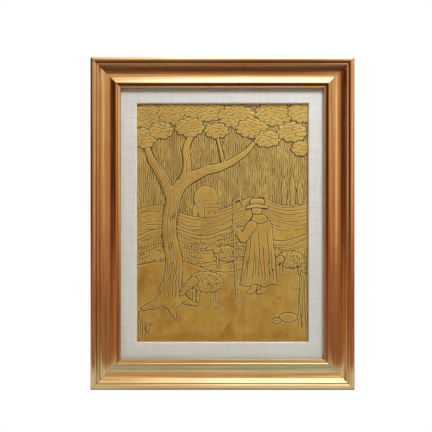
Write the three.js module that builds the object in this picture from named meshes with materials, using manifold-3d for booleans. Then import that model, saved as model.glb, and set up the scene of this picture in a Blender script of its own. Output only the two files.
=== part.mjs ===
// A framed relief panel, made to hang on a wall: four mitred gilt rails, a pane of glass,
// a linen-covered liner, a gold-finished cast panel in low relief, and a backing board.
// It is laid out flat first, with u to the right, v up the picture and h out from the wall.
// The last group stands it up: +Z up, front towards -Y, back against the wall at y = 0.
import * as THREE from "three";
import { mergeVertices } from "three/addons/utils/BufferGeometryUtils.js";
import Module from "manifold-3d";

const wasm = await Module();
wasm.setup();

// Frame, in millimetres
const FRAME_WIDTH = 442;
const FRAME_HEIGHT = 557;
const RAIL_WIDTH = 50;
const RABBET_WIDTH = 7;
const RABBET_LEDGE = 17.8;
const GAP = 0.3;

// What lies in the rabbet: the pane, the liner, the cast panel and the board
const FILLING_PLAY = 1;
const GLASS_THICKNESS = 2;
const LINER_THICKNESS = 6.6;
const LINER_SHOWN = 26;
const LINER_SHOWN_BELOW = 28;
const LINER_BEVEL = 1.8;
const CAST_THICKNESS = 4;
const CAST_MARGIN = 10;
const BOARD_THICKNESS = 3;

// Low relief: forms start inside the slab and end just short of the liner's edge
const RELIEF_FOOT = -1.5;
const EDGE_CLEARANCE = 0.4;
const RIDGE_OVERRUN = 16;
const SHORTEST_EDGE = 0.12;
const THINNEST_FACE = 0.03;

const RAIL_BACK = RAIL_WIDTH - RABBET_WIDTH;
const FILLING_WIDTH = FRAME_WIDTH - 2 * RAIL_BACK - 2 * FILLING_PLAY;
const FILLING_HEIGHT = FRAME_HEIGHT - 2 * RAIL_BACK - 2 * FILLING_PLAY;
const PICTURE_WIDTH = FRAME_WIDTH - 2 * RAIL_WIDTH - 2 * LINER_SHOWN;
const PICTURE_HEIGHT = FRAME_HEIGHT - 2 * RAIL_WIDTH - LINER_SHOWN - LINER_SHOWN_BELOW;
const PICTURE_RAISED = (LINER_SHOWN_BELOW - LINER_SHOWN) / 2;
const GLASS_BACK = RABBET_LEDGE - GAP - GLASS_THICKNESS;
const LINER_BACK = GLASS_BACK - GAP - LINER_THICKNESS;
const CAST_FRONT = LINER_BACK - GAP;
const CAST_BACK = CAST_FRONT - CAST_THICKNESS;
const BOARD_BACK = CAST_BACK - GAP - BOARD_THICKNESS;

const degrees = (angle) => (angle * Math.PI) / 180;

// Points along an arc in the moulding's section, as [inward, height] pairs.
function arc([inward, height], radius, from, to, steps) {
  const points = [];
  for (let k = 0; k <= steps; k++) {
    const angle = degrees(from + ((to - from) * k) / steps);
    points.push([inward + radius * Math.cos(angle), height + radius * Math.sin(angle)]);
  }
  return points;
}

// The moulding's section: a broad outer bead, a flat fillet, the wide scoop that eases
// towards the lip, a step down, the inner slope, the sight edge's bead, and the rabbet.
function mouldingSection() {
  const beadRadius = 6;
  const beadCentre = [4.6, 27];
  const fillet = [9.9, 30.2];
  const filletRadius = 0.7;
  const filletCentre = [11.9, 29.5];
  const scoopRadius = 17.3;
  const scoopCentre = [28.3, 37.9];
  const easedRadius = 62;
  const easedCentre = [7.31, 77.37];
  const lipRadius = 0.7;
  const lipCentre = [42.6, 25.7];
  const innerStep = [44.9, 24.4];
  const sightRadius = 0.9;
  const sightHeight = 22.3;
  return [
    [0, 0],
    [0, 30.2],
    ...arc(beadCentre, beadRadius, 138, 50, 8),
    fillet,
    ...arc(filletCentre, filletRadius, 95, 45, 2),
    ...arc(scoopCentre, scoopRadius, -135, -62, 10),
    ...arc(easedCentre, easedRadius, -61, -56, 2),
    ...arc(lipCentre, lipRadius, 150, 45, 4),
    innerStep,
    ...arc([RAIL_WIDTH - sightRadius, sightHeight], sightRadius, 130, 0, 4),
    [RAIL_WIDTH, RABBET_LEDGE],
    [RAIL_BACK, RABBET_LEDGE],
    [RAIL_BACK, 0],
  ];
}

// One rail, running along x with its outer edge on y = 0, both ends cut at 45 degrees.
function mitredRail(length) {
  const shape = new THREE.Shape(mouldingSection().map(([x, y]) => new THREE.Vector2(x, y)));
  const geometry = new THREE.ExtrudeGeometry(shape, { depth: length, bevelEnabled: false });
  const seam = (GAP / 2) * Math.SQRT2;
  const place = geometry.attributes.position;
  for (let k = 0; k < place.count; k++) {
    const inward = place.getX(k);
    const height = place.getY(k);
    const end = place.getZ(k) > length / 2 ? -1 : 1;
    const along = end * (length / 2 - inward - seam);
    place.setXYZ(k, along, -inward, height);
  }
  return geometry;
}

// A closed body through equal rings of points, each end closed by a fan about a middle point.
function loft(rings, middle = centreOf) {
  const count = rings[0].length;
  const points = rings.flat();
  const index = [];
  for (let ring = 0; ring + 1 < rings.length; ring++) {
    for (let k = 0; k < count; k++) {
      const a = ring * count + k;
      const b = ring * count + ((k + 1) % count);
      index.push(a, b, b + count, a, b + count, a + count);
    }
  }
  for (const [ring, flip] of [[0, true], [rings.length - 1, false]]) {
    points.push(middle(rings[ring]));
    for (let k = 0; k < count; k++) {
      const a = ring * count + k;
      const b = ring * count + ((k + 1) % count);
      index.push(...(flip ? [b, a, points.length - 1] : [a, b, points.length - 1]));
    }
  }
  const geometry = new THREE.BufferGeometry().setFromPoints(points);
  geometry.setIndex(signedVolume(points, index) < 0 ? index.reverse() : index);
  return geometry;
}

function centreOf(ring) {
  const centre = new THREE.Vector3();
  ring.forEach((point) => centre.addScaledVector(point, 1 / ring.length));
  return centre;
}

function signedVolume(points, index) {
  let volume = 0;
  const across = new THREE.Vector3();
  for (let k = 0; k < index.length; k += 3) {
    across.crossVectors(points[index[k]], points[index[k + 1]]);
    volume += across.dot(points[index[k + 2]]) / 6;
  }
  return volume;
}

// Solids for joining and cutting, and back to a mesh geometry.
function solid(geometry) {
  const plain = geometry.clone();
  plain.deleteAttribute("normal");
  plain.deleteAttribute("uv");
  const merged = mergeVertices(plain, 1e-4);
  const vertProperties = new Float32Array(merged.attributes.position.array);
  const triVerts = new Uint32Array(merged.index.array);
  return new wasm.Manifold(new wasm.Mesh({ numProp: 3, vertProperties, triVerts }));
}

function joined(geometries) {
  return geometries.map(solid).reduce((all, next) => all.add(next));
}

function meshGeometry(body) {
  const mesh = body.getMesh();
  const geometry = new THREE.BufferGeometry();
  geometry.setAttribute("position", new THREE.BufferAttribute(mesh.vertProperties, 3));
  geometry.setIndex(new THREE.BufferAttribute(mesh.triVerts, 1));
  return geometry;
}

// A join leaves some needle-thin faces. Short edges are drawn together and a face that is
// still thin is turned to the other diagonal, until none is left or a few rounds are over.
function cleaned(geometry) {
  const place = geometry.attributes.position;
  const points = [];
  for (let k = 0; k < place.count; k++) {
    points.push(new THREE.Vector3().fromBufferAttribute(place, k));
  }
  let faces = [];
  for (let k = 0; k < geometry.index.count; k += 3) {
    faces.push([0, 1, 2].map((corner) => geometry.index.getX(k + corner)));
  }
  for (let round = 0; round < 6; round++) {
    faces = withoutShortEdges(points, faces);
    turnThinFaces(points, faces);
  }
  const tidy = new THREE.BufferGeometry().setFromPoints(points).setIndex(faces.flat());
  return meshGeometry(solid(tidy));
}

function withoutShortEdges(points, faces) {
  const stands = points.map((_, k) => k);
  const moved = new Set();
  for (const face of faces) {
    for (let side = 0; side < 3; side++) {
      const [a, b] = [face[side], face[(side + 1) % 3]];
      if (a > b || moved.has(a) || moved.has(b)) continue;
      if (points[a].distanceTo(points[b]) > SHORTEST_EDGE) continue;
      stands[b] = a;
      moved.add(a).add(b);
    }
  }
  return faces
    .map((face) => face.map((corner) => stands[corner]))
    .filter(([a, b, c]) => a !== b && b !== c && c !== a);
}

function faceHeight(points, [a, b, c]) {
  const sides = [points[b].distanceTo(points[a]), points[c].distanceTo(points[b])];
  sides.push(points[a].distanceTo(points[c]));
  const ab = new THREE.Vector3().subVectors(points[b], points[a]);
  const ac = new THREE.Vector3().subVectors(points[c], points[a]);
  return ab.cross(ac).length() / Math.max(...sides);
}

function turnThinFaces(points, faces) {
  const key = (a, b) => a + "/" + b;
  const owner = new Map();
  const claim = (face) => {
    faces[face].forEach((corner, k) => owner.set(key(corner, faces[face][(k + 1) % 3]), face));
  };
  const release = (face) => {
    faces[face].forEach((corner, k) => owner.delete(key(corner, faces[face][(k + 1) % 3])));
  };
  faces.forEach((_, face) => claim(face));
  faces.forEach((corners, face) => {
    if (faceHeight(points, corners) > THINNEST_FACE) return;
    const longest = [0, 1, 2]
      .map((k) => [points[faces[face][k]].distanceTo(points[faces[face][(k + 1) % 3]]), k])
      .sort((one, other) => other[0] - one[0])[0][1];
    const [a, b, c] = [0, 1, 2].map((k) => faces[face][(longest + k) % 3]);
    const beyond = owner.get(key(b, a));
    const d = faces[beyond].find((corner) => corner !== a && corner !== b);
    if (owner.has(key(c, d)) || owner.has(key(d, c))) return;
    const turned = [[a, d, c], [d, b, c]];
    const before = Math.min(faceHeight(points, faces[face]), faceHeight(points, faces[beyond]));
    if (Math.min(...turned.map((next) => faceHeight(points, next))) <= before) return;
    release(face);
    release(beyond);
    faces[face] = turned[0];
    faces[beyond] = turned[1];
    claim(face);
    claim(beyond);
  });
}

function box(width, height, depth, back = 0) {
  return new THREE.BoxGeometry(width, height, depth).translate(0, 0, back + depth / 2);
}

// How high a rounded form stands, a given distance in from its outline.
function swell(level, rise, soft, inside) {
  const rest = 1 - Math.min(1, inside / soft);
  return level + rise * Math.sqrt(1 - rest * rest);
}

// A limb of the relief along a smooth line of [u, v, half width] points, with round ends.
function limb(line, level, rise, soft, steps = 3) {
  const curve = new THREE.CatmullRomCurve3(
    line.map(([u, v, half]) => new THREE.Vector3(u, v, half)),
    false,
    "catmullrom",
    0.5,
  );
  const stations = curve.getPoints(steps * (line.length - 1));
  const rings = [];
  const addRing = (u, v, half, dir) => {
    const top = swell(level, rise, soft, half);
    const crown = half * Math.max(0.3, 1 - (0.6 * soft) / Math.max(half, soft));
    const section = [
      [-half, RELIEF_FOOT],
      [-half, level],
      [-crown, top],
      [crown, top],
      [half, level],
      [half, RELIEF_FOOT],
    ];
    rings.push(section.map(([s, h]) => new THREE.Vector3(u - s * dir.y, v + s * dir.x, h)));
  };
  const roundEnd = (point, dir, angles) => {
    for (const angle of angles) {
      const out = point.z * Math.sin(degrees(angle));
      const half = point.z * Math.cos(degrees(angle));
      addRing(point.x + out * dir.x, point.y + out * dir.y, half, dir);
    }
  };
  stations.forEach((point, k) => {
    const before = stations[Math.max(0, k - 1)];
    const after = stations[Math.min(stations.length - 1, k + 1)];
    const dir = new THREE.Vector2(after.x - before.x, after.y - before.y).normalize();
    if (k === 0) roundEnd(point, dir, [-75, -40]);
    addRing(point.x, point.y, point.z, dir);
    if (k === stations.length - 1) roundEnd(point, dir, [40, 75]);
  });
  return loft(rings);
}

// A raised patch: its outline stands up to level, then draws in towards its middle as it swells.
function patch(outline, middle, level, rise, inset) {
  const ring = (scale, height) =>
    outline.map(
      ([u, v]) =>
        new THREE.Vector3(
          middle[0] + scale * (u - middle[0]),
          middle[1] + scale * (v - middle[1]),
          height,
        ),
    );
  const rings = [ring(1, RELIEF_FOOT), ring(1, level), ring(1 - inset, level + rise)];
  return loft(rings, (points) => new THREE.Vector3(middle[0], middle[1], points[0].z));
}

// An oval patch. With lobes its edge is scalloped, as leaves in a mass or a fleece.
function oval([u, v], [across, up], level, rise, { lobes = 0, bump = 0, turn = 0, phase = 0 } = {}) {
  const perLobe = 3;
  const count = lobes ? lobes * perLobe : 14;
  const outline = [];
  for (let k = 0; k < count; k++) {
    const angle = (2 * Math.PI * k) / count - (lobes ? (2 * phase) / lobes : 0);
    const wave = lobes ? Math.abs(Math.sin((angle * lobes) / 2 + phase)) - 0.5 : 0;
    const a = across * (1 + bump * wave) * Math.cos(angle);
    const b = up * (1 + bump * wave) * Math.sin(angle);
    const c = Math.cos(degrees(turn));
    const s = Math.sin(degrees(turn));
    outline.push([u + a * c - b * s, v + a * s + b * c]);
  }
  return patch(outline, [u, v], level, rise, 0.28);
}

// Ground that rises to a smooth ridge and runs down to the foot of the picture.
function hill(ridge, level, rise) {
  const reach = PICTURE_WIDTH / 2 + RIDGE_OVERRUN;
  const foot = -PICTURE_HEIGHT / 2 - RIDGE_OVERRUN;
  const step = (2 * reach) / (ridge.length - 1);
  const curve = new THREE.SplineCurve(ridge.map((v, k) => new THREE.Vector2(k * step - reach, v)));
  const top = curve.getPoints(4 * (ridge.length - 1)).map((point) => [point.x, point.y]);
  const outline = [...top, [reach, foot], [-reach, foot]];
  return patch(outline, [0, (foot + ridge[0]) / 2], level, rise, 0.06);
}

function hills() {
  const far = [18, 30, 12, 24, 44, 30, 38];
  const middle = [-28, -8, -22, -6, -30, -12];
  const near = [-74, -64, -84, -70, -92];
  return [hill(far, 0.3, 0.3), hill(middle, 0.65, 0.3), hill(near, 0.95, 0.3)];
}

// A low sun, a farmhouse below it and slim trees on the far slope.
function distance() {
  const sun = oval([-28, 42], [21, 21], 0.15, 0.3);
  const gable = [[-51, 9.5], [-30, 9.5], [-30, 26], [-40.5, 37], [-51, 26]];
  const roof = [[-40.5, 37.3], [-14, 37.3], [-4, 25.6], [-30.4, 25.6]];
  const wall = [[-30.2, 9.7], [-6, 9.7], [-6, 27], [-30.2, 27]];
  const slim = [[104, 34, 44], [119, 32, 52], [132, 34, 40]];
  return [
    sun,
    patch(gable, [-41, 22], 0.95, 0.15, 0.1),
    patch(wall, [-17, 18], 0.85, 0.15, 0.1),
    patch(roof, [-22, 31], 1.05, 0.15, 0.1),
    ...slim.map(([u, v, tall]) =>
      limb([[u, v, 4], [u, v + tall * 0.45, 5.5], [u, v + tall, 1.2]], 0.8, 0.6, 4, 2),
    ),
  ];
}

function foliage(masses, level) {
  const lobeSpan = 5.4;
  return masses.map(([u, v, across, up], k) => {
    const lobes = Math.round((across + up) / lobeSpan);
    return oval([u, v], [across, up], level, 0.7, { lobes, bump: 0.22, phase: k });
  });
}

// The old tree on the left: trunk and main bough in one sweep, boughs, roots and leaves.
function tree() {
  const trunk = [
    [-88, -126, 21], [-85, -104, 17], [-82, -66, 14], [-90, -18, 13], [-85, 30, 12.5],
    [-70, 64, 11], [-34, 86, 8.5], [6, 98, 6.5], [40, 120, 5], [60, 144, 3.5],
  ];
  const boughs = [
    [[-84, 34, 10], [-98, 72, 9], [-118, 104, 7], [-134, 140, 5]],
    [[-74, 56, 10], [-60, 92, 8], [-62, 124, 6.5], [-48, 160, 5]],
    [[4, 97, 5], [-4, 124, 4], [-10, 150, 3]],
  ];
  const roots = [
    [[-94, -108, 11], [-108, -134, 8], [-134, -146, 3.5]],
    [[-86, -112, 11], [-86, -142, 7], [-80, -160, 3]],
    [[-78, -106, 10], [-64, -130, 7], [-44, -138, 3]],
  ];
  const behind = [
    [-124, 180, 34, 22], [-78, 188, 30, 22], [-30, 190, 34, 18], [24, 180, 30, 20],
    [88, 184, 32, 20],
  ];
  const front = [
    [-134, 144, 22, 17], [-104, 156, 20, 14], [-56, 162, 24, 16], [-10, 156, 20, 13],
    [50, 160, 26, 16], [76, 142, 22, 14], [118, 154, 24, 17], [134, 126, 16, 13],
    [134, 188, 22, 18],
  ];
  return [
    ...foliage(behind, 1),
    limb(trunk, 1.3, 1, 8),
    ...boughs.map((line) => limb(line, 1.2, 0.9, 5)),
    ...roots.map((line) => limb(line, 1.2, 0.9, 6, 2)),
    ...foliage(front, 1.35),
  ];
}

// One sheep of a given size, looking left (-1) or right (1), its head down or up.
function sheep([u, v], size, look, grazing, level) {
  const at = (x, y, half) => [u + look * x * size, v + y * size, half * size];
  const legs = [-19, -11, 13, 20].map((x) => [at(x, -12, 3), at(x + 1, -33, 2.1)]);
  const brow = grazing ? [33, -9] : [31, 14];
  const muzzle = grazing ? [41, -20] : [43, 9];
  const head = [at(22, grazing ? 0 : 8, 8.5), at(...brow, 6), at(...muzzle, 3.6)];
  const ear = [at(brow[0] - 3, brow[1] + 4, 2.4), at(brow[0] - 9, brow[1] + 2, 1.5)];
  const fleece = { lobes: 16, bump: 0.13, turn: 4 * look };
  return [
    ...legs.map((line) => limb(line, level - 0.1, 0.35, 2.5, 1)),
    oval([u, v], [28 * size, 17.5 * size], level, 0.9, fleece),
    limb(head, level + 0.25, 0.7, 4 * size, 2),
    limb(ear, level + 0.9, 0.4, 2, 1),
  ];
}

// The shepherd seen from behind, in a long cloak and a broad hat, leaning on a crook.
function shepherd(u, v) {
  const at = (x, y, half) => [u + x, v + y, half];
  const boots = [-9, 8].map((x) => [at(x, 14, 6), at(x - 1, -2, 5), at(x - 9, -6, 3.6)]);
  const cloak = [
    [-13, 122], [-21, 106], [-23, 70], [-29, 30], [-33, 8], [-20, 3], [-6, 8], [8, 2],
    [22, 7], [31, 6], [28, 44], [24, 84], [21, 110], [12, 123], [0, 127],
  ];
  const collar = [[-11, 126], [10, 126], [14, 116], [0, 110], [-14, 116]];
  const crook = [
    at(-38, -8, 1.8), at(-41, 60, 1.8), at(-43, 138, 1.8), at(-40, 150, 1.8), at(-32, 152, 1.7),
    at(-29, 143, 1.6),
  ];
  const placed = (outline) => outline.map(([x, y]) => [u + x, v + y]);
  return [
    ...boots.map((line) => limb(line, 1.25, 0.6, 4, 2)),
    patch(placed(cloak), [u, v + 62], 1.35, 0.9, 0.14),
    limb([at(-12, 108, 8.5), at(-27, 86, 7.5)], 1.7, 0.8, 5, 2),
    limb([at(-27, 86, 7.2), at(-34, 94, 5.6), at(-41, 105, 4.4)], 1.75, 0.8, 5, 2),
    limb(crook, 1.9, 0.4, 1.5),
    oval([u - 3, v + 133], [9, 11], 1.7, 0.8),
    limb([at(-20, 138, 2.6), at(-3, 141, 3.6), at(14, 138, 2.6)], 2.1, 0.4, 3, 2),
    limb([at(-9, 147, 6.5), at(3, 147, 6.5)], 2, 0.5, 4, 1),
    patch(placed(collar), [u, v + 119], 1.9, 0.4, 0.2),
  ];
}

function stones() {
  return [oval([92, -166], [8, 5], 1.05, 0.5), oval([112, -160], [16, 8], 1.1, 0.6)];
}

// The cast panel: every form of the relief joined, trimmed to the picture and set on its slab.
function castPanel() {
  const forms = joined([
    ...hills(),
    ...distance(),
    ...tree(),
    ...sheep([6, -52], 0.74, -1, false, 1),
    ...sheep([116, -62], 0.8, -1, true, 1),
    ...sheep([-28, -100], 1, -1, true, 1.25),
    ...shepherd(62, -112),
    ...stones(),
  ]);
  const trim = solid(
    box(PICTURE_WIDTH - 2 * EDGE_CLEARANCE, PICTURE_HEIGHT - 2 * EDGE_CLEARANCE, 10, -5),
  );
  const slab = solid(
    box(
      PICTURE_WIDTH + 2 * CAST_MARGIN,
      PICTURE_HEIGHT + 2 * CAST_MARGIN,
      CAST_THICKNESS,
      -CAST_THICKNESS,
    ),
  );
  return cleaned(meshGeometry(slab.add(forms.intersect(trim)))).translate(
    0,
    PICTURE_RAISED,
    CAST_FRONT,
  );
}

// The liner: a flat ring with its opening bevelled towards the picture.
function liner() {
  const ring = (width, height, level) =>
    [[-1, -1], [1, -1], [1, 1], [-1, 1]].map(
      ([u, v]) =>
        new THREE.Vector3((u * width) / 2, (v * height) / 2 + PICTURE_RAISED, level),
    );
  const bevelled = 2 * LINER_BEVEL;
  const hole = loft([
    ring(PICTURE_WIDTH, PICTURE_HEIGHT, -1),
    ring(PICTURE_WIDTH, PICTURE_HEIGHT, LINER_THICKNESS - LINER_BEVEL),
    ring(PICTURE_WIDTH + bevelled, PICTURE_HEIGHT + bevelled, LINER_THICKNESS),
    ring(PICTURE_WIDTH + bevelled, PICTURE_HEIGHT + bevelled, LINER_THICKNESS + 1),
  ]);
  const board = solid(box(FILLING_WIDTH, FILLING_HEIGHT, LINER_THICKNESS));
  return meshGeometry(board.subtract(solid(hole))).translate(0, 0, LINER_BACK);
}

const finish = (color, roughness, metalness = 0) =>
  new THREE.MeshStandardMaterial({ color, roughness, metalness, flatShading: true });

function piece(name, geometry, material) {
  const mesh = new THREE.Mesh(geometry, material);
  mesh.name = name;
  return mesh;
}

const framedPanel = new THREE.Group();

const sides = [
  { name: "frame_rail_top", length: FRAME_WIDTH, turn: 0, at: [0, FRAME_HEIGHT / 2] },
  { name: "frame_rail_bottom", length: FRAME_WIDTH, turn: 180, at: [0, -FRAME_HEIGHT / 2] },
  { name: "frame_rail_left", length: FRAME_HEIGHT, turn: 90, at: [-FRAME_WIDTH / 2, 0] },
  { name: "frame_rail_right", length: FRAME_HEIGHT, turn: -90, at: [FRAME_WIDTH / 2, 0] },
];
for (const { name, length, turn, at } of sides) {
  const rail = piece(name, mitredRail(length), finish(0xc2925a, 0.34, 0.85));
  rail.rotation.z = degrees(turn);
  rail.position.set(at[0], at[1], 0);
  framedPanel.add(rail);
}

const glass = finish(0xf4f6f2, 0.04);
glass.transparent = true;
glass.opacity = 0.15;
const pane = box(FILLING_WIDTH, FILLING_HEIGHT, GLASS_THICKNESS, GLASS_BACK);
framedPanel.add(piece("glass_pane", pane, glass));
framedPanel.add(piece("linen_liner", liner(), finish(0xd8d1bf, 0.92)));
framedPanel.add(piece("relief_panel", castPanel(), finish(0xb98f47, 0.45, 0.6)));
const board = box(FILLING_WIDTH, FILLING_HEIGHT, BOARD_THICKNESS, BOARD_BACK);
framedPanel.add(piece("backing_board", board, finish(0x8a6d4a, 0.85)));

// Stand the layout up, with the origin at the middle of the top rail's back face.
framedPanel.rotation.x = Math.PI / 2;
framedPanel.position.z = -FRAME_HEIGHT / 2 + RAIL_BACK / 2;
const group = new THREE.Group();
group.add(framedPanel);

export default group;
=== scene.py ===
# Dresses a framed relief panel, made to hang on a wall: four gilt rails, a linen-covered
# liner, the glass, a gold-finished cast with a pastoral scene in low relief, and the back.
# The frame is laid out in millimetres, u to the right, v up from its middle and h out
# from the wall, and is stood up at the end: +Z up, front towards -Y, back at y = 0.
import math
from collections import namedtuple

import bmesh
import bpy
import numpy as np
from mathutils import Matrix, Vector


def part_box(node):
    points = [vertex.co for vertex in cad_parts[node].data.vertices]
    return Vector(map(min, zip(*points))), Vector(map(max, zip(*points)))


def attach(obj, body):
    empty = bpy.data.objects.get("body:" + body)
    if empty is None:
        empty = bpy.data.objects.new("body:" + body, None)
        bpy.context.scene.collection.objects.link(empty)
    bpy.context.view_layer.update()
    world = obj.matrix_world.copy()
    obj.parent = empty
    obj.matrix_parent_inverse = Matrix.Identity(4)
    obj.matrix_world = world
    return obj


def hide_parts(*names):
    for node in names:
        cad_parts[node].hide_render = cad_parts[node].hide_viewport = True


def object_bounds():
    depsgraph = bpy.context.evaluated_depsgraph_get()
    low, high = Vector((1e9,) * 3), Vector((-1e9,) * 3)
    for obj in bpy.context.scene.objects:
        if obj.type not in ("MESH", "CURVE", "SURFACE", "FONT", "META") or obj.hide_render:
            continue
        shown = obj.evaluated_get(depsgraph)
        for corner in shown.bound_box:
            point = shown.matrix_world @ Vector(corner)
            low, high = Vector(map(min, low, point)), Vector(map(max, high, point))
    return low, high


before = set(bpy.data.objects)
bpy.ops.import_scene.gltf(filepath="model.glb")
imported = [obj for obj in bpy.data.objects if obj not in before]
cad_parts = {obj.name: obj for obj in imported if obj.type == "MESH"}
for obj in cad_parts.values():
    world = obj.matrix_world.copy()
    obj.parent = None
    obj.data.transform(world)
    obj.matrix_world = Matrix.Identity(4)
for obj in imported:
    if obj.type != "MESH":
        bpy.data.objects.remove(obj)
cad_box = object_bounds()

MM = 0.001


def width_and_height(box):
    """How wide and tall a box is, in millimetres."""
    return (box[1].x - box[0].x) / MM, (box[1].z - box[0].z) / MM


# The cast reaches behind the liner by its margin, so the picture is smaller than the cast
CAST_MARGIN = 10
CAST_THICKNESS = 4
panel_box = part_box("relief_panel")
FRAME_WIDTH, FRAME_HEIGHT = width_and_height(cad_box)
RAIL_WIDTH = width_and_height(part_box("frame_rail_top"))[1]
PICTURE_WIDTH, PICTURE_HEIGHT = (side - 2 * CAST_MARGIN for side in width_and_height(panel_box))

# In metres: the frame's middle, how far above it the picture's middle lies, and the cast's
# face before it is carved
MIDDLE_Z = (cad_box[0].z + cad_box[1].z) / 2
PICTURE_RAISED = (panel_box[0].z + panel_box[1].z) / 2 - MIDDLE_Z
CAST_FRONT = -panel_box[1].y + CAST_THICKNESS * MM

# The camera looks straight at the front. One pixel of the 432 is 1.674 mm at the outer bead.
IMAGE_SIDE = 432
MM_PER_PIXEL = 1.674
CAMERA_DISTANCE = 1.6
CAMERA_X = -0.0109
CAMERA_Z = -0.2444
BEAD_Y = -0.030

# The rails, in millimetres: the rabbet's width and height, the seam left at a mitre, the
# steps along a rail, and the places of the hollows in which the toning settled
RABBET = 7
LEDGE = 17.8
MITRE_SEAM = 0.21
RAIL_STEP = 4.5
HOLLOWS = (9.8, 15.5, 45.3)

# The key light stands high on the right, and lights what lies behind the glass
KEY_PLACE = (0.53, -0.92, 0.91)


def linear(hex_colour):
    """An sRGB hex colour as linear red, green, blue and alpha."""
    channels = [int(hex_colour[k : k + 2], 16) / 255 for k in (0, 2, 4)]
    turned = [c / 12.92 if c <= 0.04045 else ((c + 0.055) / 1.055) ** 2.4 for c in channels]
    return (*turned, 1.0)


def add(tree, kind, inputs=(), stops=(), **settings):
    """Adds a node with its settings, a ramp's colour stops, and its inputs by name or number."""
    new = tree.nodes.new("ShaderNode" + kind)
    for name, value in settings.items():
        setattr(new, name, value)
    for number, (place, colour) in enumerate(stops):
        points = new.color_ramp.elements
        point = points[number] if number < 2 else points.new(place)
        point.position = place
        point.color = linear(colour)
    set_inputs(new, dict(inputs))
    return new


def set_inputs(node, inputs):
    """Each input takes a plain value, a hex colour or the output of another node. A node given
    whole stands for the first of its outputs that is in use."""
    for name, value in inputs.items():
        if isinstance(value, bpy.types.Node):
            value = next(output for output in value.outputs if output.enabled)
        if isinstance(value, bpy.types.NodeSocket):
            node.id_data.links.new(value, node.inputs[name])
        else:
            node.inputs[name].default_value = linear(value) if isinstance(value, str) else value


def emptied_tree(owner):
    owner.use_nodes = True
    owner.node_tree.nodes.clear()
    return owner.node_tree


def per_mm(*sizes):
    """The scale that makes a pattern as large as these sizes in millimetres."""
    return [1 / (size * MM) for size in sizes]


def place_camera():
    width = IMAGE_SIDE * MM_PER_PIXEL * MM
    bpy.ops.object.camera_add(location=(CAMERA_X, BEAD_Y - CAMERA_DISTANCE, CAMERA_Z))
    camera = bpy.context.object
    camera.rotation_euler = (math.radians(90), 0, 0)
    camera.data.lens = camera.data.sensor_width * CAMERA_DISTANCE / width
    bpy.context.scene.camera = camera


def studio_surroundings():
    """White behind the object, and round it a warm room: lighter upwards, dark low and left."""
    world = bpy.data.worlds.new("studio_room")
    bpy.context.scene.world = world
    tree = emptied_tree(world)
    upwards = [
        (0.03, "6A4E3A"), (0.11, "5C4232"), (0.245, "73503A"), (0.36, "94704F"),
        (0.407, "B0906C"), (0.428, "8E684A"), (0.4415, "7E5038"), (0.457, "88583C"),
        (0.4805, "B07E5B"), (0.504, "C4956C"), (0.5355, "D3B188"), (0.575, "DABD9B"),
        (0.69, "C4AA84"), (0.8, "CAB286"), (0.863, "E2CDA4"), (0.96, "EBE6BC"),
    ]
    rightwards = [
        (0.02, "583622"), (0.12, "66462E"), (0.2, "9A7C62"), (0.29, "E0D0C0"), (0.37, "FFFFFF"),
    ]
    direction = add(tree, "TexCoord").outputs["Generated"]
    split = add(tree, "SeparateXYZ", {"Vector": direction})
    height = add(tree, "MapRange", {"Value": split.outputs["Z"], 1: -1})
    across = add(tree, "MapRange", {"Value": split.outputs["X"], 1: -1})
    by_height = add(tree, "ValToRGB", {"Fac": height}, upwards)
    by_side = add(tree, "ValToRGB", {"Fac": across}, rightwards)
    above_floor = add(tree, "MapRange", {"Value": height, 1: 0.47, 2: 0.486})
    shaded = {0: above_floor, 6: by_height, 7: by_side}
    room = add(tree, "Mix", shaded, data_type="RGBA", blend_type="MULTIPLY")
    # Low on the far left a sunlit wooden floor
    far_left = add(tree, "MapRange", {"Value": across, 1: 0.11, 2: 0})
    low_left = add(tree, "Math", {0: far_left, 1: above_floor}, operation="SUBTRACT", use_clamp=True)
    room = add(tree, "Mix", {0: low_left, 6: room, 7: "D08C62"}, data_type="RGBA")
    glow = add(tree, "Background", {"Color": room})
    blank = add(tree, "Background", {"Color": "FFFFFF"})
    seen = add(tree, "LightPath").outputs["Is Camera Ray"]
    add(tree, "OutputWorld", {"Surface": add(tree, "MixShader", {0: seen, 1: glow, 2: blank})})


def panel_light(name, place, aim, size, brightness, colour, reaches="matt shiny", soft=None):
    """A rectangular light turned to aim, that the camera doesn't see itself. It reaches matt
    things, is mirrored in shiny ones, or both. Soft gives, across and up, the share of the
    size over which its brightness fades to nothing at each of the two ends."""
    bpy.ops.object.light_add(type="AREA", location=place)
    light = bpy.context.object
    light.name = name
    facing = (Vector(aim) - Vector(place)).to_track_quat("-Z", "Y").to_matrix()
    light.rotation_euler = facing.to_euler()
    light.data.shape = "RECTANGLE"
    light.data.size, light.data.size_y = size
    light.data.energy = brightness * math.pi * size[0] * size[1]
    light.data.color = linear(colour)[:3]
    light.visible_camera = False
    light.visible_diffuse = "matt" in reaches
    light.visible_glossy = "shiny" in reaches
    if soft:
        fade_light(light.data, soft)


def fade_light(lamp, soft):
    tree = emptied_tree(lamp)
    spot = add(tree, "SeparateXYZ", {"Vector": add(tree, "NewGeometry").outputs["Parametric"]})
    strength = 1
    for axis, reaches in zip("XY", soft):
        for end, reach in enumerate(reaches):
            full = end + reach * (1 - 2 * end)
            rise = add(tree, "MapRange", {"Value": spot.outputs[axis], 1: end, 2: full})
            strength = add(tree, "Math", {0: strength, 1: rise}, operation="MULTIPLY")
    add(tree, "OutputLight", {"Surface": add(tree, "Emission", {"Strength": strength})})


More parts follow.
